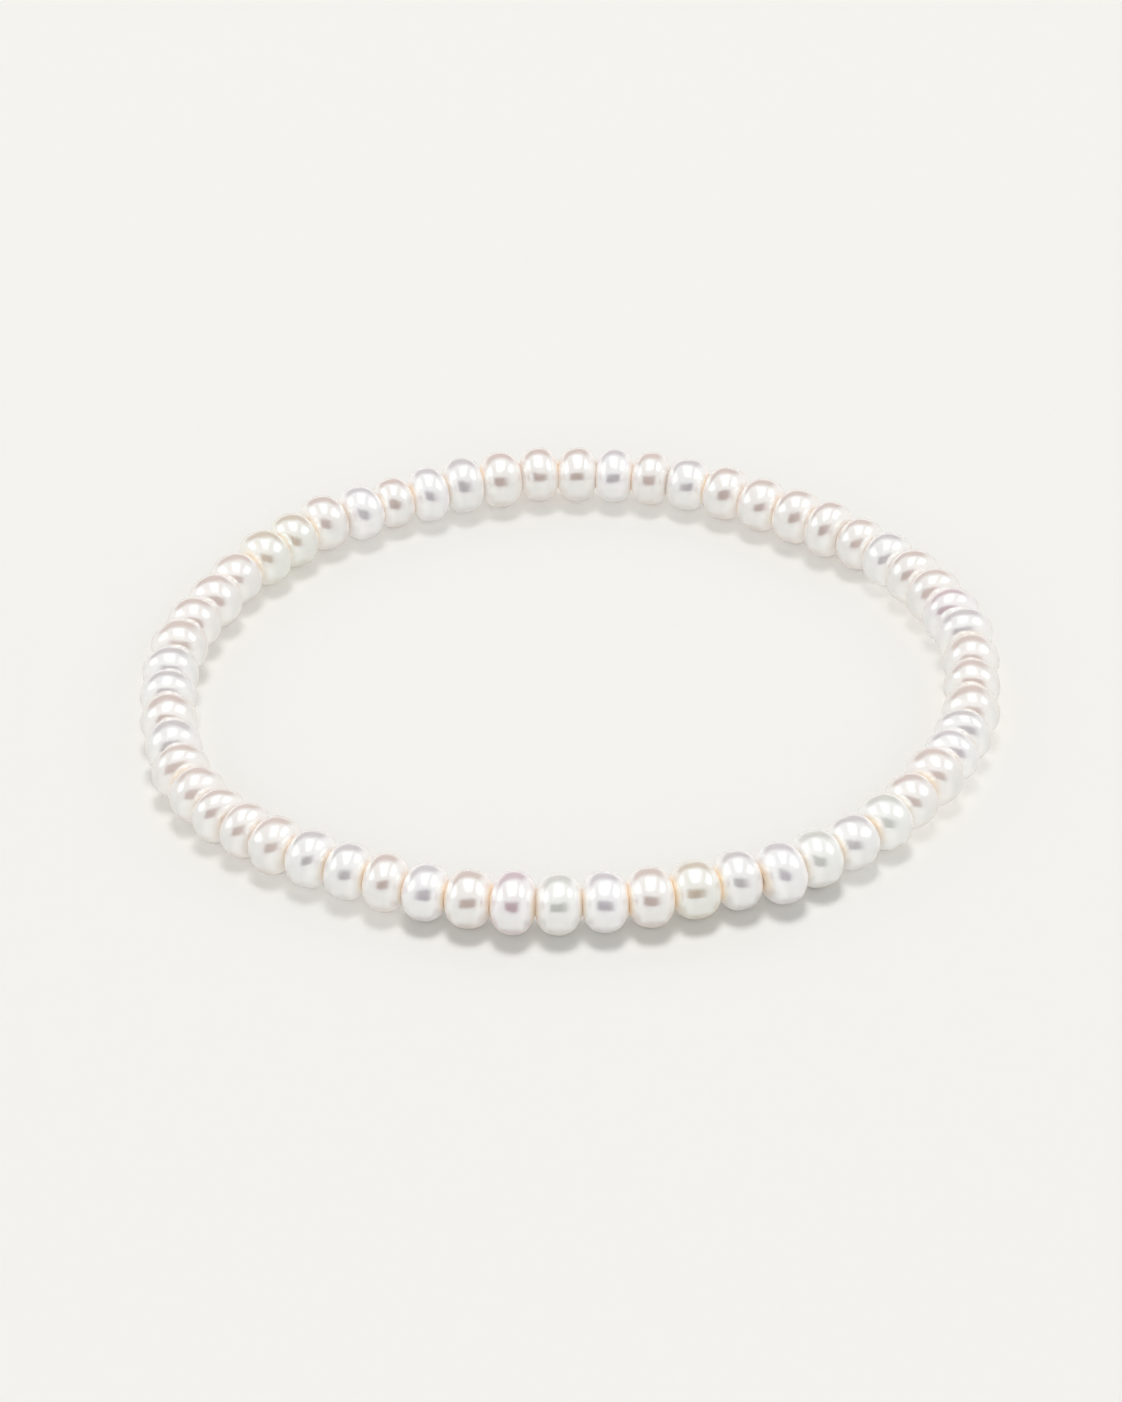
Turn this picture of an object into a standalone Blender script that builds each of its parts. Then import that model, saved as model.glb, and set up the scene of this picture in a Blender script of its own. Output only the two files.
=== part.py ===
"""Stretch bracelet of button-shaped pearls, lying flat as one closed oval loop.

Frame: metres, +Z up. The origin is under the middle of the loop, on the surface that the pearls stand on.
+X runs along the long side of the oval, and -Y is the side nearest the viewer.
The pearls are counted clockwise, seen from above, from the middle of the back (+Y).
"""
import math

import bmesh
import bpy
from mathutils import Matrix, Vector

# Pearls: the mean diameter across the button, and how full its shoulders are, where 2 would be an ellipse
PEARL_DIAMETER = 0.00420
SHOULDER_POWER = 2.3
PEARL_SIDES = 12
PEARL_BANDS = 7

# How far each flank bulges past the plane where it meets its neighbour, which it is pressed against and joined to
FLANK_BULGE = 0.00015

# Elastic cord, and the free space round it in the drilled pearls
CORD_DIAMETER = 0.0005
CORD_CLEARANCE = 0.0003
CORD_BEVEL_RESOLUTION = 2

# The two halves of the string stop this far from each other. The front half is this run of pearls
MEETING_GAP = 0.0003
FRONT_FIRST = 16
FRONT_LAST = 44
# The blocks that face off the end pearls, as a share of the mean pearl's diameter
END_BLOCK = 1.5

# The string's route: its distance from the middle of the loop at each hour of a clock face, twelve at the back
CLOCK_RADII = (
    0.0266, 0.0270, 0.0286, 0.0297, 0.0282, 0.0266,
    0.0259, 0.0271, 0.0293, 0.0293, 0.0279, 0.0266,
)
# Steps along the route for measuring its length, and the first pearl's place past twelve o'clock
ROUTE_STEPS = 2880
FIRST_PEARL = 0.0007

# One letter for each pearl, ten to a group. Across the button: shares of the mean diameter
WIDTH_GRADES = {"a": 0.940, "b": 0.965, "c": 0.988, "d": 1.012, "e": 1.036, "f": 1.060}
WIDTH_CHART = "ddcbccdebc ddeeccccbd abacfdcddd fcbcbccbbc dccccdbbad cddadeed"

# Along the string: shares of the mean length, from narrow to long
LENGTH_GRADES = {"k": 0.85, "n": 0.90, "s": 0.95, "m": 1.00, "t": 1.05, "l": 1.10}
LENGTH_CHART = "mssttttssm ssnstmlkkt ttltmmlttt mtmsmmmkkm nttsmltllt ttmssmtm"

# Off the route: shares of the mean diameter, inside the loop (I, i), on the route (=) or outside it (o, O)
SIDE_GRADES = {"I": -0.083, "i": -0.036, "=": 0.0, "o": 0.036, "O": 0.083}
SIDE_CHART = "==oo=iiioo oooo=i==== =oooOIIi=o Oo=iIIi=OO O=ii===io= oOi=Iiio"

# Edges sharper than this show as facets, and points nearer than this are one point
SHARP_ANGLE = math.radians(40)
WELD_DISTANCE = 0.000001

UP = Vector((0, 0, 1))


def read_chart(chart, grades):
    """The value of each letter, in order."""
    return [grades[letter] for letter in chart.replace(" ", "")]


def clock_radius(turn):
    """Distance of the route from the middle at a clockwise angle, as the smoothest wave through the hours."""
    hours = len(CLOCK_RADII)
    radius = sum(CLOCK_RADII) / hours
    for wave in range(1, hours // 2):
        for hour, value in enumerate(CLOCK_RADII):
            radius += 2 / hours * value * math.cos(wave * (turn - math.tau * hour / hours))
    return radius


def route_points():
    """Points along the whole route, clockwise from twelve o'clock, and the length walked at each."""
    turns = [math.tau * step / ROUTE_STEPS for step in range(ROUTE_STEPS + 1)]
    points = [clock_radius(turn) * Vector((math.sin(turn), math.cos(turn), 0)) for turn in turns]
    walked = [0.0]
    for here, there in zip(points, points[1:]):
        walked.append(walked[-1] + (there - here).length)
    return points, walked


def pearl_places():
    """One record for each pearl: its middle, direction along the string, radius, half length and flank's tip."""
    points, walked = route_points()
    widths = read_chart(WIDTH_CHART, WIDTH_GRADES)
    lengths = read_chart(LENGTH_CHART, LENGTH_GRADES)
    sides = read_chart(SIDE_CHART, SIDE_GRADES)
    mean_length = walked[-1] / sum(lengths)
    station = FIRST_PEARL
    places = []
    for number, (width, length, side) in enumerate(zip(widths, lengths, sides)):
        if number:
            station += mean_length * (lengths[number - 1] + length) / 2
        step = next(i for i, value in enumerate(walked) if value > station)
        along = (points[step] - points[step - 1]).normalized()
        outward = UP.cross(along)
        radius = width * PEARL_DIAMETER / 2
        middle = points[step - 1] + along * (station - walked[step - 1])
        middle += outward * side * PEARL_DIAMETER + UP * radius
        places.append({
            "middle": middle,
            "along": along,
            "radius": radius,
            "half": mean_length * length / 2,
            "tip": mean_length * length / 2 + FLANK_BULGE,
        })
    return centred(places)


def ring_shares():
    """The turned outline of a pearl, pole to pole: share of the half length, share of the radius."""
    belt = math.cos(math.pi * (PEARL_BANDS // 2) / PEARL_BANDS)
    shares = []
    for ring in range(PEARL_BANDS + 1):
        axial = math.cos(math.pi * ring / PEARL_BANDS)
        fullness = (1 - min(1.0, abs(axial) ** SHOULDER_POWER)) / (1 - belt ** SHOULDER_POWER)
        shares.append((axial, fullness ** (1 / SHOULDER_POWER)))
    return shares


def reach(place, direction):
    """How far a pearl stands out from its middle in one level direction."""
    outward = UP.cross(place["along"])
    spans = [
        abs(axial * place["tip"] * place["along"].dot(direction))
        + abs(share * place["radius"] * outward.dot(direction))
        for axial, share in ring_shares()
    ]
    return max(spans)


def centred(places):
    """The same pearls, moved so that the middle of the whole loop's box is at the origin."""
    for axis in (Vector((1, 0, 0)), Vector((0, 1, 0))):
        high = max(place["middle"].dot(axis) + reach(place, axis) for place in places)
        low = min(place["middle"].dot(axis) - reach(place, axis) for place in places)
        for place in places:
            place["middle"] = place["middle"] - axis * (high + low) / 2
    return places


def make_collection(name):
    collection = bpy.data.collections.new(name)
    bpy.context.scene.collection.children.link(collection)
    return collection


def make_material(name, colour, roughness):
    material = bpy.data.materials.new(name)
    material.use_nodes = True
    shader = material.node_tree.nodes["Principled BSDF"]
    shader.inputs["Base Color"].default_value = (*colour, 1)
    shader.inputs["Roughness"].default_value = roughness
    return material


def finish_object(name, mesh, collection, material):
    mesh.shade_smooth()
    mesh.set_sharp_from_angle(angle=SHARP_ANGLE)
    mesh.materials.append(material)
    thing = bpy.data.objects.new(name, mesh)
    collection.objects.link(thing)
    return thing


def hide_cutter(thing):
    thing.hide_render = True
    thing.display_type = "WIRE"
    return thing


def add_pearl(bm, place):
    """One button pearl: a sphere with its rings moved out to fuller shoulders, standing on one belt facet."""
    sphere = bmesh.ops.create_uvsphere(bm, u_segments=PEARL_SIDES, v_segments=PEARL_BANDS, radius=1)
    rings = ring_shares()
    facet_turn = Matrix.Rotation(math.pi / PEARL_SIDES, 3, "Z")
    flat_to_corner = 1 / math.cos(math.pi / PEARL_SIDES)
    lying = Matrix((UP, place["along"].cross(UP), place["along"])).transposed()
    for vert in sphere["verts"]:
        axial, share = min(rings, key=lambda ring: abs(ring[0] - vert.co.z))
        round_place = Vector((vert.co.x, vert.co.y, 0))
        if round_place.length > WELD_DISTANCE:
            round_place = round_place.normalized() * share * flat_to_corner * place["radius"]
        shape = facet_turn @ round_place + UP * axial * place["tip"]
        vert.co = place["middle"] + lying @ shape


def pearl_mesh(name, places):
    """Pearls that don't touch each other, as one mesh."""
    bm = bmesh.new()
    for place in places:
        add_pearl(bm, place)
    mesh = bpy.data.meshes.new(name)
    bm.to_mesh(mesh)
    bm.free()
    return mesh


def cord_curve(name, places, diameter, collection):
    """A closed round tube through the middle of every pearl, level at half the mean pearl's height."""
    curve = bpy.data.curves.new(name, "CURVE")
    curve.dimensions = "3D"
    curve.bevel_depth = diameter / 2
    curve.bevel_resolution = CORD_BEVEL_RESOLUTION
    spline = curve.splines.new("POLY")
    spline.points.add(len(places) - 1)
    for point, place in zip(spline.points, places):
        point.co = (place["middle"].x, place["middle"].y, PEARL_DIAMETER / 2, 1)
    spline.use_cyclic_u = True
    thing = bpy.data.objects.new(name, curve)
    collection.objects.link(thing)
    return thing


def curve_to_mesh(thing, collection):
    """The curve's own surface as a mesh object, in the curve's place."""
    bpy.context.view_layer.update()
    evaluated = thing.evaluated_get(bpy.context.evaluated_depsgraph_get())
    mesh = bpy.data.meshes.new_from_object(evaluated)
    bm = bmesh.new()
    bm.from_mesh(mesh)
    bmesh.ops.remove_doubles(bm, verts=bm.verts, dist=WELD_DISTANCE)
    bm.to_mesh(mesh)
    bm.free()
    name = thing.name
    matrix = thing.matrix_world.copy()
    bpy.data.objects.remove(thing)
    solid = bpy.data.objects.new(name, mesh)
    solid.matrix_world = matrix
    collection.objects.link(solid)
    return solid


def meeting_faces(name, cuts, collection):
    """Blocks that face off the end pearls of one half. Each cut is a point and the way out of the half."""
    size = END_BLOCK * PEARL_DIAMETER
    bm = bmesh.new()
    for point, away in cuts:
        turn = Matrix((away, UP.cross(away), UP)).transposed().to_4x4()
        block = Matrix.Translation(point + away * size / 2) @ turn @ Matrix.Scale(size, 4)
        bmesh.ops.create_cube(bm, size=1, matrix=block)
    mesh = bpy.data.meshes.new(name)
    bm.to_mesh(mesh)
    bm.free()
    thing = bpy.data.objects.new(name, mesh)
    collection.objects.link(thing)
    return hide_cutter(thing)


def add_boolean(thing, operation, cutter):
    modifier = thing.modifiers.new(cutter.name, "BOOLEAN")
    modifier.operation = operation
    modifier.solver = "EXACT"
    modifier.object = cutter


def half_string(name, places, before, after, channel, parts, cutters, material):
    """One half of the string: every other pearl joined with those between, then drilled and faced off."""
    thing = finish_object(name, pearl_mesh(name, places[0::2]), parts, material)
    between = bpy.data.objects.new(name + "_between", pearl_mesh(name + "_between", places[1::2]))
    cutters.objects.link(between)
    add_boolean(thing, "UNION", hide_cutter(between))
    add_boolean(thing, "DIFFERENCE", channel)
    cuts = []
    for inside, outside in ((places[0], before), (places[-1], after)):
        share = inside["half"] / (inside["half"] + outside["half"])
        meeting = inside["middle"].lerp(outside["middle"], share)
        away = (outside["middle"] - inside["middle"]) * Vector((1, 1, 0))
        away.normalize()
        cuts.append((meeting - away * MEETING_GAP / 2, away))
    add_boolean(thing, "DIFFERENCE", meeting_faces(name + "_ends", cuts, cutters))
    return thing


def main():
    for thing in list(bpy.data.objects):
        bpy.data.objects.remove(thing)
    parts = make_collection("pearl_bracelet")
    cutters = make_collection("cutters")
    nacre = make_material("nacre", (0.90, 0.87, 0.84), 0.22)
    elastic = make_material("clear_elastic", (0.86, 0.85, 0.82), 0.40)

    places = pearl_places()
    channel_diameter = CORD_DIAMETER + 2 * CORD_CLEARANCE
    channel = curve_to_mesh(cord_curve("cord_channel", places, channel_diameter, cutters), cutters)
    hide_cutter(channel)

    front = places[FRONT_FIRST - 1:FRONT_LAST]
    back = places[FRONT_LAST:] + places[:FRONT_FIRST - 1]
    half_string("pearls_front", front, back[-1], back[0], channel, parts, cutters, nacre)
    half_string("pearls_back", back, front[-1], front[0], channel, parts, cutters, nacre)

    cord = cord_curve("elastic_cord", places, CORD_DIAMETER, parts)
    cord.data.materials.append(elastic)


main()
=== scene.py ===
# %% [markdown]
# A stretch bracelet of button pearls, lying flat as a closed oval. Everything here is in metres. The surface
# that the pearls stand on is at height 0, and the viewer is at -Y.

# %% Load the solids
import math
import random

import bmesh
import bpy
from mathutils import Matrix, Vector


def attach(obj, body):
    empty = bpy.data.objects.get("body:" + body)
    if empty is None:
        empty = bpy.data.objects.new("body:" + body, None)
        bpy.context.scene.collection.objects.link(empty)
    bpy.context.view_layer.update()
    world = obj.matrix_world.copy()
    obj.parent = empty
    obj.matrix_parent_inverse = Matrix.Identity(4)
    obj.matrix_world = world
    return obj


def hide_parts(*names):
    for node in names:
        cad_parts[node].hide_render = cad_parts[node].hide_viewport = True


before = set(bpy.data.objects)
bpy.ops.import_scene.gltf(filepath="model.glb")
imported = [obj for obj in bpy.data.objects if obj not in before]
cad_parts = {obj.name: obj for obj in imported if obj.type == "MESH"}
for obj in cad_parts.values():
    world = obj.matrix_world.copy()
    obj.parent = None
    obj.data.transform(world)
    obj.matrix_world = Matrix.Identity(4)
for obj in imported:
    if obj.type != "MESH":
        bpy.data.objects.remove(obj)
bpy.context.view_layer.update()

UP = Vector((0, 0, 1))
bpy.ops.object.select_all(action="DESELECT")
print("solids:", ", ".join(sorted(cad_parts)))

# %% [markdown]
# The string doesn't lie in a perfect oval, because it was laid down by hand.
# Its course could be drawn as a curve, but a clock face is easier to read and to change:
# twelve distances from the middle, one for each hour, joined by a smooth wave.

# %% The course of the string
CLOCK_RADII = (
    0.0266, 0.0270, 0.0286, 0.0297, 0.0282, 0.0266,
    0.0259, 0.0271, 0.0293, 0.0293, 0.0279, 0.0266,
)
COURSE_STEPS = 2880


def clock_radius(turn):
    """How far the string is from the middle of the clock face in this direction."""
    hours = len(CLOCK_RADII)
    radius = sum(CLOCK_RADII) / hours
    for wave in range(1, hours // 2):
        for hour, value in enumerate(CLOCK_RADII):
            radius += 2 / hours * value * math.cos(wave * (turn - math.tau * hour / hours))
    return radius


def string_course():
    """The points of the course, clockwise from the back, and the length walked at each."""
    turns = [math.tau * step / COURSE_STEPS for step in range(COURSE_STEPS + 1)]
    points = [clock_radius(turn) * Vector((math.sin(turn), math.cos(turn), 0)) for turn in turns]
    walked = [0.0]
    for here, there in zip(points, points[1:]):
        walked.append(walked[-1] + (there - here).length)
    return points, walked


course, walked = string_course()
print(f"string: {walked[-1] * 100:.2f} cm round")

# %% [markdown]
# Pearls are matched by eye, so no two are the same. Their sizes could be drawn at random, but each pearl of
# this string has its own: one letter for its width, one for its length along the string and one for how far
# it has slipped to one side. Letters stand for steps of a grade, as in a sorting tray.
# The first pearl is at the middle of the back, and the count runs clockwise as seen from above.

# %% Sort the pearls
PEARL_DIAMETER = 0.00420
WIDTH_GRADES = {"a": 0.940, "b": 0.965, "c": 0.988, "d": 1.012, "e": 1.036, "f": 1.060}
WIDTH_CHART = "ddcbccdebc ddeeccccbd abacfdcddd fcbcbccbbc dccccdbbad cddadeed"
LENGTH_GRADES = {"k": 0.85, "n": 0.90, "s": 0.95, "m": 1.00, "t": 1.05, "l": 1.10}
LENGTH_CHART = "mssttttssm ssnstmlkkt ttltmmlttt mtmsmmmkkm nttsmltllt ttmssmtm"
SIDE_GRADES = {"I": -0.083, "i": -0.036, "=": 0.0, "o": 0.036, "O": 0.083}
SIDE_CHART = "==oo=iiioo oooo=i==== =oooOIIi=o Oo=iIIi=OO O=ii===io= oOi=Iiio"


def read_chart(chart, grades):
    """The grade of each pearl, from its letter."""
    return [grades[letter] for letter in chart.replace(" ", "")]


widths = read_chart(WIDTH_CHART, WIDTH_GRADES)
lengths = read_chart(LENGTH_CHART, LENGTH_GRADES)
sides = read_chart(SIDE_CHART, SIDE_GRADES)
print("sorted", len(widths), "pearls")

# %% [markdown]
# On a tight string the pearls touch, so each one's place follows from the lengths of those before it.
# They could be spread evenly over an angle, but walking along the course keeps long pearls from overlapping
# and short ones from leaving gaps. Every pearl stands on the surface, so its middle is one radius above it.

# %% Lay out the pearls
FIRST_PEARL = 0.0007  # how far along the course the first pearl's middle is


def lay_out():
    """Each pearl's middle, its direction along the string, its radius and its half length."""
    mean_length = walked[-1] / sum(lengths)
    station = FIRST_PEARL
    places = []
    for number, (width, length, side) in enumerate(zip(widths, lengths, sides)):
        if number:
            station += mean_length * (lengths[number - 1] + length) / 2
        step = next(i for i, value in enumerate(walked) if value > station)
        along = (course[step] - course[step - 1]).normalized()
        radius = width * PEARL_DIAMETER / 2
        middle = course[step - 1] + along * (station - walked[step - 1])
        middle += UP.cross(along) * side * PEARL_DIAMETER + UP * radius
        places.append({"middle": middle, "along": along, "radius": radius, "half": mean_length * length / 2})
    return places


places = lay_out()
MEAN_HALF = sum(place["half"] for place in places) / len(places)
print(f"mean length of a pearl: {MEAN_HALF * 2000:.2f} mm")

# %% [markdown]
# The solids stand with the middle of their box over the origin, so the layout is moved there too. The pearls
# could be made first and measured, but their rounded outline, an oval with full shoulders, has a formula for
# how far it reaches. The camera is moved by the same shift later, so the shift is kept.

# %% Centre the layout
SHOULDER_POWER = 2.3
FLANK_BULGE = 0.00015  # how far the tip of the outline goes past the pearl's share of the string


def reach(place, direction):
    """How far a pearl's rounded outline reaches from its middle in a level direction."""
    tip = place["half"] + FLANK_BULGE
    lengthways = abs(tip * place["along"].dot(direction))
    crossways = abs(place["radius"] * UP.cross(place["along"]).dot(direction))
    power = SHOULDER_POWER / (SHOULDER_POWER - 1)
    return (lengthways ** power + crossways ** power) ** (1 / power)


shift = Vector((0, 0, 0))
for axis in (Vector((1, 0, 0)), Vector((0, 1, 0))):
    high = max(place["middle"].dot(axis) + reach(place, axis) for place in places)
    low = min(place["middle"].dot(axis) - reach(place, axis) for place in places)
    shift -= axis * (high + low) / 2
for place in places:
    place["middle"] = place["middle"] + shift
print(f"layout moved by {shift.x * 1000:.3f}, {shift.y * 1000:.3f} mm")

# %% [markdown]
# The camera stands 37 degrees above the surface and 30 cm away. A camera close by could frame the loop too,
# but it would make the front pearls too large for the back ones, so a long lens looks from farther off.
# It is made early, so that every later step can be looked at from the same place.

# %% The camera
CAMERA_HEIGHT_ANGLE = math.radians(37)
CAMERA_DISTANCE = 0.305
TOWARDS_CAMERA = Vector((0, -math.cos(CAMERA_HEIGHT_ANGLE), math.sin(CAMERA_HEIGHT_ANGLE)))
LOOK_AT = Vector((-0.00057, -0.00015, 0)) + shift
LENS_MM = 106.3
FILM_HEIGHT_MM = 36
NEAREST_SEEN = 0.01

bpy.ops.object.camera_add()
camera = bpy.context.object
camera.name = "view_camera"
camera.data.sensor_fit = "VERTICAL"
camera.data.sensor_height = FILM_HEIGHT_MM
camera.data.lens = LENS_MM
camera.data.clip_start = NEAREST_SEEN
camera.location = LOOK_AT + CAMERA_DISTANCE * TOWARDS_CAMERA
camera.rotation_euler = (math.pi / 2 - CAMERA_HEIGHT_ANGLE, 0, 0)
bpy.context.scene.camera = camera
print("camera at", [round(value, 4) for value in camera.location])

# %% [markdown]
# A button pearl is a ball that grew wider than it is long, with full shoulders and a drilled hole through
# its short way. It could be turned from a profile, but starting from a ball keeps the mesh even all over,
# so that the soft reflections run over it without a kink. One blank is shaped here, with its hole along Z.
# Each ring of points is widened to the fuller outline, and then the ball is pressed to its length. It is made
# a little too long, because its two ends are cut off in the next step.

# %% Shape the blank: fill out the shoulders of a ball and flatten it
BLANK_RADIUS = PEARL_DIAMETER / 2
BLANK_SEGMENTS = 56
BLANK_RINGS = 36
EXTRA_LENGTH = 1.07
SAME_RING = 0.000001


def select_points(mesh_object, chosen):
    """Select only the points of the open mesh for which chosen(point) is true."""
    bpy.ops.mesh.select_all(action="DESELECT")
    cage = bmesh.from_edit_mesh(mesh_object.data)
    for point in cage.verts:
        point.select = chosen(point.co)
    cage.select_flush(True)
    bmesh.update_edit_mesh(mesh_object.data)


bpy.ops.mesh.primitive_uv_sphere_add(segments=BLANK_SEGMENTS, ring_count=BLANK_RINGS, radius=BLANK_RADIUS)
blank = bpy.context.object
blank.name = "pearl_blank"
tip = MEAN_HALF * EXTRA_LENGTH
heights = sorted({round(abs(point.co.z), 9) for point in blank.data.vertices})
bpy.ops.object.mode_set(mode="EDIT")
bpy.ops.mesh.select_mode(type="VERT")
for height in heights[:-1]:  # the last height is that of the two poles, which have no width
    share = height / BLANK_RADIUS
    fuller = (1 - share ** SHOULDER_POWER) ** (1 / SHOULDER_POWER) / math.sqrt(1 - share ** 2)
    select_points(blank, lambda co: abs(abs(co.z) - height) < SAME_RING)
    bpy.ops.transform.resize(value=(fuller, fuller, 1))
bpy.ops.mesh.select_all(action="SELECT")
bpy.ops.transform.resize(value=(1, 1, tip / BLANK_RADIUS))
print("blank:", len(heights), "rings on each side of the belt")

# %% [markdown]
# Neighbours on a tight string rub each other, so each flank has a small flat round the hole.
# It could be pressed in by moving points, but cutting the blank off gives a clean flat in one step, and a
# narrow bevel takes off the sharp edge. The flats lie a hair past the pearl's share of the string, so that
# neighbours close up round the hole and the cord never shows between them.

# %% Rub the flanks flat
CLOSING_UP = 0.00007
FLAT_HEIGHT = MEAN_HALF + CLOSING_UP
FLAT_EDGE = 0.00004
SAME_POINT = 0.0000001
for side in (1, -1):
    bpy.ops.mesh.select_all(action="SELECT")
    bpy.ops.mesh.bisect(plane_co=(0, 0, side * FLAT_HEIGHT), plane_no=(0, 0, side), use_fill=True,
        clear_outer=True, threshold=SAME_POINT)
select_points(blank, lambda co: abs(abs(co.z) - FLAT_HEIGHT) < 5 * SAME_POINT)
bpy.ops.mesh.bevel(offset=FLAT_EDGE, segments=2, affect="EDGES")
print(f"flats at {FLAT_HEIGHT * 1000:.2f} mm from the middle")

# %% [markdown]
# The hole runs through the short way of the pearl. A cut with a cylinder would do it, but it can leave thin
# stray faces. Here each flat is inset to the size of the drill, the two discs are taken out, and their edges
# are bridged by the wall of the hole. Smooth shading leaves the mouth of the hole crisp.

# %% Drill the hole
DRILL_RADIUS = 0.00032
CRISP_ANGLE = math.radians(50)
cage = bmesh.from_edit_mesh(blank.data)
bpy.ops.mesh.select_all(action="DESELECT")
bpy.ops.mesh.select_mode(type="FACE")
# Only the two flats look straight along the hole and have so many corners.
flats = [face for face in cage.faces if abs(face.normal.z) > 0.999 and len(face.verts) > 20]
for face in flats:
    face.select = True
flat_radius = min(Vector((corner.co.x, corner.co.y, 0)).length for corner in flats[0].verts)
bmesh.update_edit_mesh(blank.data)
bpy.ops.mesh.inset(thickness=flat_radius - DRILL_RADIUS, use_individual=True)
bpy.ops.mesh.delete(type="ONLY_FACE")
bpy.ops.mesh.select_mode(type="EDGE")
bpy.ops.mesh.select_non_manifold()
bpy.ops.mesh.bridge_edge_loops()
bpy.ops.mesh.select_all(action="SELECT")
bpy.ops.mesh.remove_doubles(threshold=SAME_POINT)
bpy.ops.mesh.normals_make_consistent(inside=False)
bpy.ops.mesh.select_mode(type="VERT")
bpy.ops.object.mode_set(mode="OBJECT")
bpy.ops.object.shade_smooth_by_angle(angle=CRISP_ANGLE)
print(f"blank: flats {flat_radius * 2000:.2f} mm across, {len(blank.data.polygons)} faces")

# %% [markdown]
# The painted glow and painted peach of a pearl change from its belt to its flanks, and its fine growth lines
# run round the hole.
# Both need to know how far along the hole a point is. A finish could work that out from the pearl's place and
# turn, but it is simpler if each point of the blank remembers it as a number from -1 at one flank to 1 at the
# other. Copies of the blank keep it.

# %% Mark how far along the pearl each point is
along_mark = blank.data.attributes.new("along", "FLOAT", "POINT")
along_mark.data.foreach_set("value", [point.co.z / FLAT_HEIGHT for point in blank.data.vertices])
print("marked", len(along_mark.data), "points")

# %% [markdown]
# Nacre is a stack of thin clear plates over a pale body. It throws light back in two ways: the body scatters
# it softly in its own tint, and the plates mirror it with the opposite tint. Where something bright is
# mirrored the two add up to white, and where the room is dark only the body's tint is left.
# A thin film in the shader could give such colours too, but they are hard to choose one by one. So the body
# colour and the tint of the mirrored light are a pair, and the strength of the mirroring is set by a high
# index of refraction. Seven pairs cover the pearls of this string.

# %% Nacre: the overtones
OVERTONES = {  # letter: name, colour of the body, tint of what the plates mirror, index of refraction
    "r": ("rose", (0.97, 0.71, 0.80), (0.80, 1.00, 0.93), 6.6),
    "v": ("violet", (0.85, 0.79, 0.85), (0.93, 0.99, 0.93), 5.4),
    "g": ("green", (0.82, 0.84, 0.78), (0.97, 0.94, 0.99), 4.6),
    "s": ("silver", (0.81, 0.76, 0.79), (0.95, 1.00, 0.95), 5.2),
    "b": ("brown", (0.95, 0.75, 0.69), (0.79, 0.97, 1.00), 5.7),
    "k": ("khaki", (0.96, 0.79, 0.62), (0.72, 0.90, 1.00), 5.8),
    "o": ("orange", (0.96, 0.77, 0.70), (0.76, 0.95, 1.00), 5.2),
}
print("overtones:", ", ".join(overtone[0] for overtone in OVERTONES.values()))

# %% [markdown]
# A finish is a small web of nodes, and three steps come back in it again and again: a soft step from 0 to 1,
# the product of some values, and one colour laid over another. Each could be written out every time, but a
# helper keeps the web readable. The studio round the pearls is built with the same three.
# Every output knows the web that it belongs to, so the helpers ask it.

# %% Three helpers for finishes
def fade(value, start, end):
    """0 before start and 1 after end, smoothly. Start may be the larger one."""
    web = value.id_data
    node = web.nodes.new("ShaderNodeMapRange")
    node.interpolation_type = "SMOOTHSTEP"
    node.inputs["From Min"].default_value = min(start, end)
    node.inputs["From Max"].default_value = max(start, end)
    node.inputs["To Min"].default_value = 0.0 if start < end else 1.0
    node.inputs["To Max"].default_value = 1.0 if start < end else 0.0
    web.links.new(value, node.inputs["Value"])
    return node.outputs["Result"]


def together(*values):
    """The product of several outputs."""
    result = values[0]
    web = result.id_data
    for value in values[1:]:
        node = web.nodes.new("ShaderNodeMath")
        node.operation = "MULTIPLY"
        web.links.new(result, node.inputs[0])
        web.links.new(value, node.inputs[1])
        result = node.outputs[0]
    return result


def tint(factor, under, over):
    """A colour laid over another where the factor is 1. Each is three numbers or an output."""
    web = factor.id_data
    node = web.nodes.new("ShaderNodeMix")
    node.data_type = "RGBA"
    web.links.new(factor, node.inputs["Factor"])
    for socket, colour in (("A", under), ("B", over)):
        if isinstance(colour, tuple):
            node.inputs[socket].default_value = (*colour, 1)
        else:
            web.links.new(colour, node.inputs[socket])
    return node.outputs["Result"]


print("helpers:", ", ".join(helper.__name__ for helper in (fade, together, tint)))

# %% [markdown]
# Light also travels through a pearl and lights the gaps between neighbours, and here that light is painted.
# The finish gives off a faint painted glow (an emission) all over the body. The glow grows towards the flanks
# and dies away at the hole, so that the flanks and the gaps are lighter than the belt. Scattering under the
# surface could do this, but a painted glow is easier to steer. Near the hole, where that light has come
# through the most nacre, it is warm, and this is painted too: the body colour turns peach there, in soft
# uneven clouds, and what the plates mirror is dimmed and warmed with it.

# %% Nacre: the flanks, with painted glow and painted peach
FLANK_START, FLANK_FULL = 0.3, 0.72
HOLE_START, HOLE_FULL = 0.78, 1.0
# Painted glow: a faint emission over the whole body, stronger on the flanks, that lightens the flanks and the
# gaps between pearls.
BODY_PAINTED_GLOW = (0.022, 0.022, 0.022)
FLANK_PAINTED_GLOW = (0.098, 0.096, 0.092)
PAINTED_GLOW_LOST_AT_HOLE = 0.95
# Painted warm light at the contacts: near the hole the body colour turns peach, and the plates mirror a
# dimmer, warmer tint. Both stand in for the light in the gaps between pearls.
FLANK_PAINTED_PEACH = (0.98, 0.82, 0.64)
FLANK_PAINTED_PLATES = (0.88, 0.83, 0.73)
PAINTED_PEACH_CLOUD_SCALE = 220
THIN_CLOUD, THICK_CLOUD = 0.35, 0.65
LEAST_PAINTED_PEACH = 0.2


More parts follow.
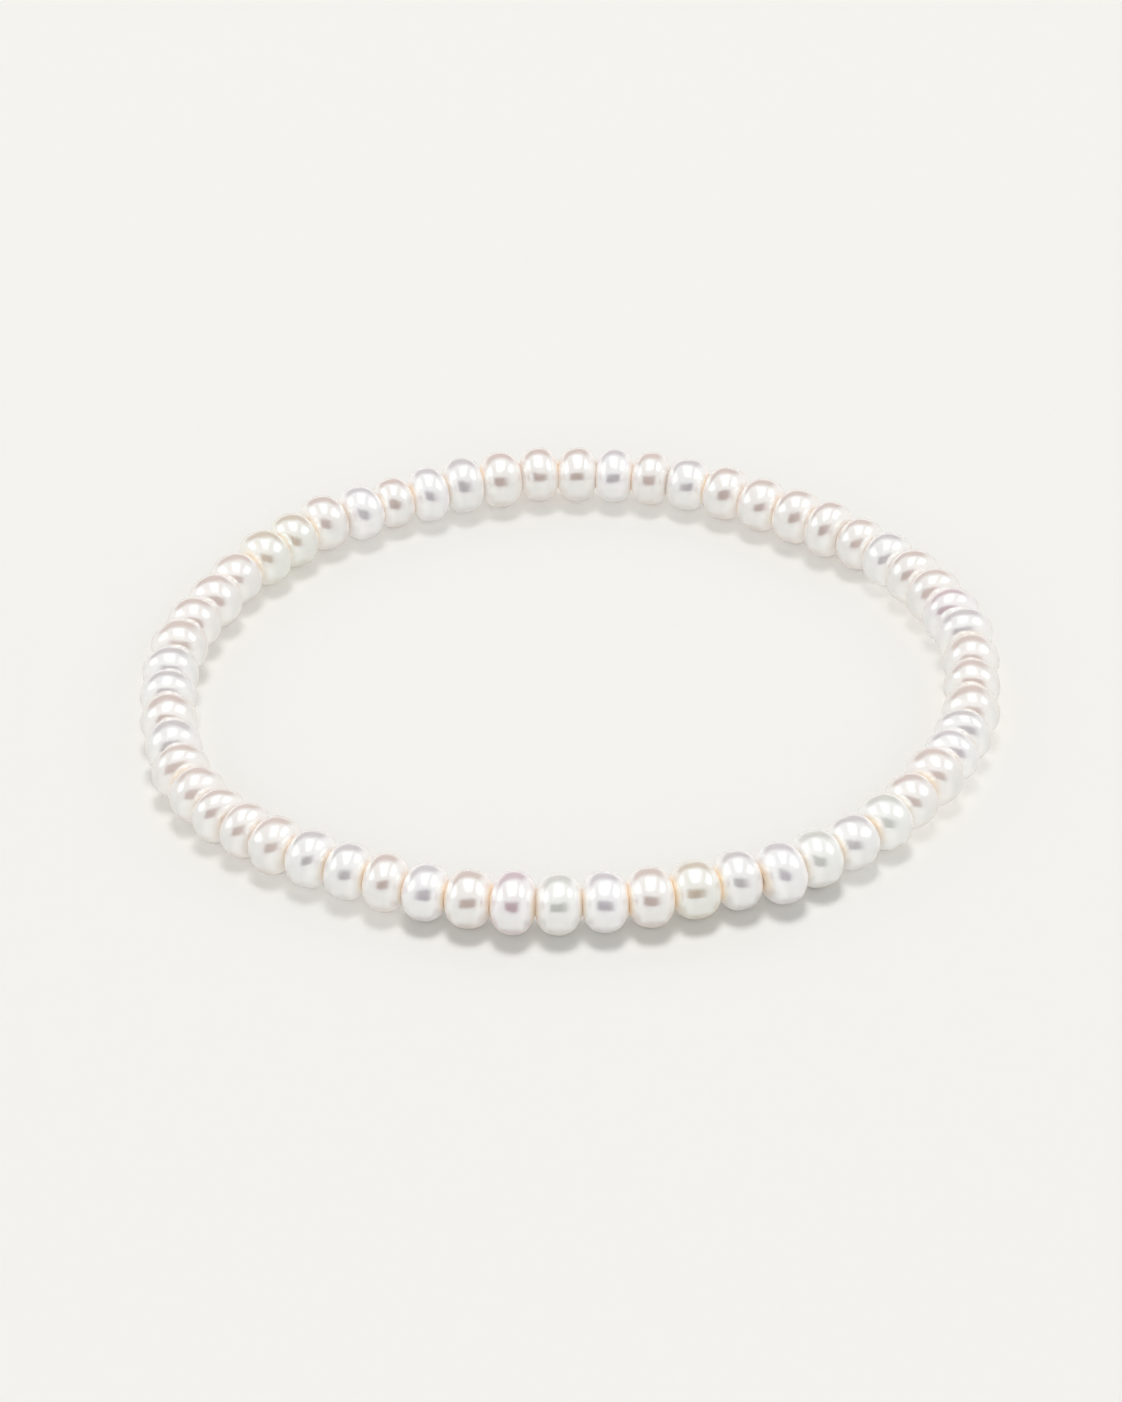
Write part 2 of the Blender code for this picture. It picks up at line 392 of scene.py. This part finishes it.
def uneven_clouds(place):
    """How strongly the painted peach shows: a number from its least value up to 1 that drifts softly over the
    pearls.
    """
    web = place.id_data
    clouds = web.nodes.new("ShaderNodeTexNoise")
    clouds.inputs["Scale"].default_value = PAINTED_PEACH_CLOUD_SCALE
    clouds.inputs["Detail"].default_value = 1
    web.links.new(place, clouds.inputs["Vector"])
    uneven = web.nodes.new("ShaderNodeMapRange")
    uneven.inputs["From Min"].default_value = THIN_CLOUD
    uneven.inputs["From Max"].default_value = THICK_CLOUD
    uneven.inputs["To Min"].default_value = LEAST_PAINTED_PEACH
    web.links.new(clouds.outputs["Fac"], uneven.inputs["Value"])
    return uneven.outputs["Result"]


def colour_flanks_and_paint_light(shader, along, place, body, mirrored):
    """The body colour with its painted peach, the painted glow, and the tint of the plates, from the belt to
    the hole.
    """
    web = shader.id_data
    to_flank = web.nodes.new("ShaderNodeMath")
    to_flank.operation = "ABSOLUTE"
    web.links.new(along, to_flank.inputs[0])
    flank = fade(to_flank.outputs[0], FLANK_START, FLANK_FULL)
    near_hole = fade(to_flank.outputs[0], HOLE_START, HOLE_FULL)
    painted_peach = together(near_hole, uneven_clouds(place))

    # The painted glow grows towards the flanks and is mostly taken away again at the hole.
    painted_glow = web.nodes.new("ShaderNodeMath")
    painted_glow.operation = "MULTIPLY_ADD"
    painted_glow.inputs[1].default_value = -PAINTED_GLOW_LOST_AT_HOLE
    web.links.new(near_hole, painted_glow.inputs[0])
    web.links.new(flank, painted_glow.inputs[2])

    # The peach body, the warmer plates and the glow are painted light, laid on from the hole and the flanks.
    web.links.new(tint(painted_peach, body, FLANK_PAINTED_PEACH), shader.inputs["Base Color"])
    web.links.new(tint(painted_peach, mirrored, FLANK_PAINTED_PLATES), shader.inputs["Specular Tint"])
    web.links.new(tint(painted_glow.outputs[0], BODY_PAINTED_GLOW, FLANK_PAINTED_GLOW), shader.inputs["Emission Color"])
    shader.inputs["Emission Strength"].default_value = 1.0


print("flanks glow from", FLANK_START, "of the way to the flat")

# %% [markdown]
# The surface of nacre isn't quite smooth: fine growth lines run round the hole, too fine to be counted. They
# soften what the pearl mirrors and make it shimmer. They could be cut into the mesh, but that would take
# millions of faces, so they are a relief of the finish. The noise is read at four numbers: the place, and how
# far along the pearl the point is. The fourth changes fastest, and that draws the noise out into lines round
# the hole.

# %% Nacre: the growth lines
LINE_SCALE = 500
LINE_DETAIL = 3
LINE_RELIEF = 0.0000015
GLOSSIEST, DULLEST = 0.13, 0.19


def draw_growth_lines(shader, along, place):
    """Fine lines round the hole that vary the gloss and the relief."""
    web = shader.id_data
    lines = web.nodes.new("ShaderNodeTexNoise")
    lines.noise_dimensions = "4D"
    lines.inputs["Scale"].default_value = LINE_SCALE
    lines.inputs["Detail"].default_value = LINE_DETAIL
    web.links.new(place, lines.inputs["Vector"])
    web.links.new(along, lines.inputs["W"])
    gloss = web.nodes.new("ShaderNodeMapRange")
    gloss.inputs["To Min"].default_value = GLOSSIEST
    gloss.inputs["To Max"].default_value = DULLEST
    web.links.new(lines.outputs["Fac"], gloss.inputs["Value"])
    web.links.new(gloss.outputs["Result"], shader.inputs["Roughness"])
    relief = web.nodes.new("ShaderNodeBump")
    relief.inputs["Strength"].default_value = 1.0
    relief.inputs["Distance"].default_value = LINE_RELIEF
    web.links.new(lines.outputs["Fac"], relief.inputs["Height"])
    web.links.new(relief.outputs["Normal"], shader.inputs["Normal"])


print(f"relief of the lines: {LINE_RELIEF * 1e6:.1f} thousandths of a millimetre")

# %% [markdown]
# Now the finishes are put together, one for each overtone. One finish with a random tint would be shorter,
# but each pearl of the string has a tint of its own, so a finish is made for every letter of the chart.
# Seen edge on, the last of the body's light makes the rim of a pearl a little warm. A weak sheen does that.

# %% Nacre: one finish for each overtone
RIM_SHEEN = 0.25
RIM_SOFTNESS = 0.3
RIM_WARMTH = (1.0, 0.66, 0.48, 1)


def make_nacre(name, body, mirrored, index):
    """One finish of nacre: the body's colour, the tint of what its plates mirror, and how strongly."""
    finish = bpy.data.materials.new("nacre_" + name)
    finish.use_nodes = True
    nodes = finish.node_tree.nodes
    shader = nodes["Principled BSDF"]
    shader.inputs["IOR"].default_value = index
    shader.inputs["Sheen Weight"].default_value = RIM_SHEEN
    shader.inputs["Sheen Roughness"].default_value = RIM_SOFTNESS
    shader.inputs["Sheen Tint"].default_value = RIM_WARMTH
    mark = nodes.new("ShaderNodeAttribute")
    mark.attribute_name = "along"
    along = mark.outputs["Fac"]
    place = nodes.new("ShaderNodeTexCoord").outputs["Object"]
    colour_flanks_and_paint_light(shader, along, place, body, mirrored)
    draw_growth_lines(shader, along, place)
    return finish


nacres = {letter: make_nacre(*overtone) for letter, overtone in OVERTONES.items()}
print("nacres:", ", ".join(finish.name for finish in nacres.values()))

# %% [markdown]
# Now the pearls are strung. An array along a curve would repeat one pearl, but here each is a copy of the
# blank with its own mesh, scaled to its width and length, turned to follow the string and set down so that it
# stands on the surface. Pearls grow a little uneven, so a soft cloud of noise moves each surface by a few
# hundredths of a millimetre before it is set down.

# %% String the pearls
OVERTONE_CHART = "bvosbbbbos borsooosvo bgsgvskbvg rbvbssoobo osbssobbok kbvbvsbb"
DENT_SIZE = 0.0017
DENT_DEPTH = 0.00011
MOST_TILT = 1.5
unevenness = bpy.data.textures.new("growth_unevenness", "CLOUDS")
unevenness.noise_scale = DENT_SIZE
unevenness.noise_depth = 1
tilts = random.Random(58)


def grow_uneven(pearl):
    """Dent a pearl softly and set it down on the surface again."""
    growth = pearl.modifiers.new("growth", "DISPLACE")
    growth.texture = unevenness
    growth.texture_coords = "GLOBAL"
    growth.strength = DENT_DEPTH
    bpy.ops.object.modifier_apply(modifier=growth.name)
    lowest = min(point.co.z for point in pearl.data.vertices)
    bpy.ops.transform.translate(value=(0, 0, -lowest))
    bpy.ops.object.transform_apply(location=True, rotation=True, scale=True)


def string_pearl(number, place, nacre):
    """A pearl of its own shape and finish, in its place on the string."""
    pearl = blank.copy()
    pearl.data = blank.data.copy()
    pearl.name = f"pearl_{number:02d}"
    pearl.data.name = pearl.name
    bpy.context.collection.objects.link(pearl)
    bpy.ops.object.select_all(action="DESELECT")
    pearl.select_set(True)
    bpy.context.view_layer.objects.active = pearl

    lean = Matrix.Rotation(math.radians(tilts.uniform(-MOST_TILT, MOST_TILT)), 3, "Z")
    along = lean @ place["along"]
    turn = Matrix((UP.cross(along), UP, along)).transposed().to_4x4()
    width = place["radius"] / BLANK_RADIUS
    size = Matrix.Diagonal((width, width, place["half"] / MEAN_HALF, 1))
    pearl.matrix_world = Matrix.Translation(place["middle"]) @ turn @ size
    bpy.ops.object.transform_apply(location=True, rotation=True, scale=True)
    grow_uneven(pearl)

    pearl.data.materials.clear()
    pearl.data.materials.append(nacre)
    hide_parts("pearls_front", "pearls_back")
    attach(pearl, "root")
    return pearl


pearls = [string_pearl(number, place, nacre)
    for number, (place, nacre) in enumerate(zip(places, read_chart(OVERTONE_CHART, nacres)), start=1)]
bpy.data.objects.remove(blank)
print("strung", len(pearls), "pearls")

# %% [markdown]
# The elastic cord is hidden in the pearls. It could be swept along the course again, but its solid has the
# right shape, so it stays, and gets a clear, slightly milky finish with the faint streaks of a drawn strand.

# %% The elastic cord
ELASTIC_INDEX = 1.48
ELASTIC_CLEARNESS = 0.5
STREAK_SCALE = 900
MILKY, CLEAR = (0.80, 0.79, 0.76, 1), (0.92, 0.91, 0.89, 1)
SATIN_FROM, SATIN_TO = 0.22, 0.42


def make_elastic():
    """A clear elastic whose milkiness and gloss vary in fine streaks."""
    elastic = bpy.data.materials.new("clear_elastic")
    elastic.use_nodes = True
    nodes, links = elastic.node_tree.nodes, elastic.node_tree.links
    shader = nodes["Principled BSDF"]
    shader.inputs["IOR"].default_value = ELASTIC_INDEX
    shader.inputs["Transmission Weight"].default_value = ELASTIC_CLEARNESS
    place = nodes.new("ShaderNodeTexCoord")
    streaks = nodes.new("ShaderNodeTexNoise")
    streaks.inputs["Scale"].default_value = STREAK_SCALE
    links.new(place.outputs["Object"], streaks.inputs["Vector"])
    milkiness = nodes.new("ShaderNodeValToRGB")
    milkiness.color_ramp.elements[0].color = MILKY
    milkiness.color_ramp.elements[1].color = CLEAR
    links.new(streaks.outputs["Fac"], milkiness.inputs["Fac"])
    links.new(milkiness.outputs["Color"], shader.inputs["Base Color"])
    satin = nodes.new("ShaderNodeMapRange")
    satin.inputs["To Min"].default_value = SATIN_FROM
    satin.inputs["To Max"].default_value = SATIN_TO
    links.new(streaks.outputs["Fac"], satin.inputs["Value"])
    links.new(satin.outputs["Result"], shader.inputs["Roughness"])
    return elastic


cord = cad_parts["elastic_cord"]
cord.data.materials.clear()
cord.data.materials.append(make_elastic())
print("cord finished")

# %% [markdown]
# The surface is plain, matt and nearly white. A curved backdrop is the usual way to hide its far edge, but a
# flat plane that is wide enough fills the view from any side, and the rest of the room takes its colour.

# %% The surface
SURFACE_SIZE = 6
MATT_WHITE = (0.88, 0.872, 0.845, 1)
bpy.ops.object.select_all(action="DESELECT")
bpy.ops.mesh.primitive_plane_add(size=SURFACE_SIZE)
surface = bpy.context.object
surface.name = "surface"
matt = bpy.data.materials.new("matt_white")
matt.use_nodes = True
matt_shader = matt.node_tree.nodes["Principled BSDF"]
matt_shader.inputs["Base Color"].default_value = MATT_WHITE
matt_shader.inputs["Roughness"].default_value = 1.0
matt_shader.inputs["Specular IOR Level"].default_value = 0.0
surface.data.materials.append(matt)
print("surface:", SURFACE_SIZE, "m wide")

# %% [markdown]
# Pearls mirror the whole room, so the light is made as a room all round them. Lamps and boards would do, but
# their sharp edges would show on every pearl. In the room's own shader an edge can be as soft as wanted.
# A place in the room needs two angles. One is how far it is turned from the viewer's side over the top, from
# 0 at the horizon in front to 180 at the horizon behind. The other is how far it lies to the side.
# A patch of the room has four of each: where it starts, is full, is still full, and ends.

# %% The room: a way to point at its places
room = bpy.data.worlds.new("studio")
bpy.context.scene.world = room
room.use_nodes = True
room_nodes, room_links = room.node_tree.nodes, room.node_tree.links
direction = room_nodes.new("ShaderNodeSeparateXYZ")
room_links.new(room_nodes.new("ShaderNodeTexCoord").outputs["Generated"], direction.inputs[0])
to_viewer = room_nodes.new("ShaderNodeMath")
to_viewer.operation = "MULTIPLY"
to_viewer.inputs[1].default_value = -1
room_links.new(direction.outputs["Y"], to_viewer.inputs[0])
over_the_top = room_nodes.new("ShaderNodeMath")
over_the_top.operation = "ARCTAN2"
room_links.new(direction.outputs["Z"], over_the_top.inputs[0])
room_links.new(to_viewer.outputs[0], over_the_top.inputs[1])


def sine(degrees):
    """The sine of an angle in degrees, which is how far along an axis of the room a direction at it goes."""
    return math.sin(math.radians(degrees))


def soft_patch(over, aside):
    """1 inside a patch of the room and 0 outside it, from four angles over the top and four to the side."""
    turned, sideways = over_the_top.outputs[0], direction.outputs["X"]
    start, full, still_full, end = (math.radians(angle) for angle in over)
    left, left_full, right_full, right = (sine(angle) for angle in aside)
    return together(
        fade(turned, start, full),
        fade(turned, end, still_full),
        fade(sideways, left, left_full),
        fade(sideways, right, right_full),
    )


print("room:", room.name)

# %% [markdown]
# The room is pale, but it isn't evenly bright. The side where the viewer stands is dim, and so is a strip
# behind the bracelet. The pearls need both: the first shows as the small dark patch in the middle of each
# pearl, and the second as the darker rim along its top. An evenly white room would leave them flat.

# %% The room: its dim sides
PALE_ROOM = (0.86, 0.86, 0.845)
DIM_VIEWER_SIDE = (0.03, 0.02, 0.02)
DIM_BACK_STRIP = (0.32, 0.27, 0.25)
viewer_side = soft_patch(over=(0, 9, 36, 50), aside=(-50, -24, 14, 58))
back_strip = soft_patch(over=(126, 140, 166, 176), aside=(-64, -44, 22, 50))
room_colour = tint(viewer_side, PALE_ROOM, DIM_VIEWER_SIDE)
room_colour = tint(back_strip, room_colour, DIM_BACK_STRIP)
print("brightness in front, behind and elsewhere:", DIM_VIEWER_SIDE[0], DIM_BACK_STRIP[0], PALE_ROOM[0])

# %% [markdown]
# Three soft white panels hang in the room: one overhead, one on the right and one on the left. Each shows as
# a white patch on every pearl. Lamps of their own would be mirrored too, but with hard edges.

# %% The room: its three panels
PANELS = (  # the angles over the top, the angles to the side, and the brightness
    ((60, 80, 107, 126), (-21, -9, 6, 18), 1.9),
    ((62, 82, 108, 126), (28, 42, 54, 66), 2.1),
    ((52, 72, 110, 130), (-80, -70, -56, -42), 1.7),
)
PANEL_BLUE = 0.98
for over, aside, brightness in PANELS:
    panel = (brightness, brightness, PANEL_BLUE * brightness)
    room_colour = tint(soft_patch(over, aside), room_colour, panel)
print("panels:", len(PANELS))

# %% [markdown]
# Matt things don't mirror the room: they gather its light, and the pearls stand in the way of the light that
# comes in low. So for them the room is a dim dome with a bright low ring, which draws the soft halo of shade
# on the surface on both sides of the string. An evenly pale room would give a fainter one.
# Seen directly, the room is as plain as the surface, so that no edge shows behind it.

# %% The room: what the matt surface and the viewer see
DOME = (0.06, 0.06, 0.06)
LOW_RING = (0.67, 0.67, 0.66)
BACKDROP = (0.896, 0.888, 0.855)
RING_START, RING_FULL, RING_STILL_FULL, RING_END = 2, 12, 42, 60  # in degrees above the horizon
how_high = direction.outputs["Z"]
low_ring = together(
    fade(how_high, sine(RING_START), sine(RING_FULL)),
    fade(how_high, sine(RING_END), sine(RING_STILL_FULL)),
)
matt_light = tint(low_ring, DOME, LOW_RING)
ray = room_nodes.new("ShaderNodeLightPath")
room_colour = tint(ray.outputs["Is Diffuse Ray"], room_colour, matt_light)
room_colour = tint(ray.outputs["Is Camera Ray"], room_colour, BACKDROP)
room_links.new(room_colour, room_nodes["Background"].inputs["Color"])
bpy.context.scene.view_settings.view_transform = "Standard"
bpy.context.scene.view_settings.look = "None"
print("room lit")

# %% [markdown]
# Soft lamps add the light that falls on the surface and on the bodies of the pearls. The pearls don't mirror
# them, or each pearl would show them beside the panels. A lamp's place is given as for the room: how far it
# is turned from the viewer's side over the top. A larger lamp gives a softer shadow. All of them stand far
# off, so that the surface is lit evenly.

# %% Soft lamps
LAMP_DISTANCE = 5


def add_softbox(name, turned_by, across, deep, brightness):
    """A big soft lamp that the pearls don't mirror, far off in this direction. Its sizes are in degrees."""
    towards = Vector((0, -math.cos(math.radians(turned_by)), sine(turned_by)))
    bpy.ops.object.light_add(type="AREA", location=LAMP_DISTANCE * towards)
    softbox = bpy.context.object
    softbox.name = name
    softbox.rotation_euler = towards.to_track_quat("Z", "Y").to_euler()
    softbox.visible_glossy = False
    softbox.data.shape = "RECTANGLE"
    softbox.data.size = 2 * LAMP_DISTANCE * math.tan(math.radians(across / 2))
    softbox.data.size_y = 2 * LAMP_DISTANCE * math.tan(math.radians(deep / 2))
    softbox.data.energy = brightness * math.pi * softbox.data.size * softbox.data.size_y
    return softbox


behind = add_softbox("softbox_behind", turned_by=103.5, across=14, deep=14, brightness=8.6)
behind_wide = add_softbox("softbox_behind_wide", turned_by=104, across=14, deep=14, brightness=7.2)
add_softbox("softbox_overhead", turned_by=102, across=22, deep=22, brightness=3.9)
add_softbox("softbox_far_behind", turned_by=138, across=100, deep=30, brightness=0.24)
add_softbox("softbox_in_front", turned_by=35, across=80, deep=40, brightness=0.5)
print("lamps:", len(bpy.data.lights))

# %% [markdown]
# The shadow isn't the same all round: it is deepest in front of the front right stretch of the string, and
# the right side of the loop has hardly any. In a studio, flags and reflectors do that, but small boards would
# show in the pearls. So each of the two strong lamps is told which pearls stop its light.

# %% Choose which pearls throw the strong shadows
front_right = pearls[21:33]
all_but_right = pearls[:9] + pearls[23:]


def shade_with(softbox, shading):
    """Let only these pearls throw a shadow in this lamp's light."""
    group = bpy.data.collections.new(softbox.name + "_shading")
    for pearl in shading:
        group.objects.link(pearl)
    softbox.light_linking.blocker_collection = group


shade_with(behind, front_right)
shade_with(behind_wide, all_but_right)
print("shadows from", len(front_right), "and", len(all_but_right), "pearls")
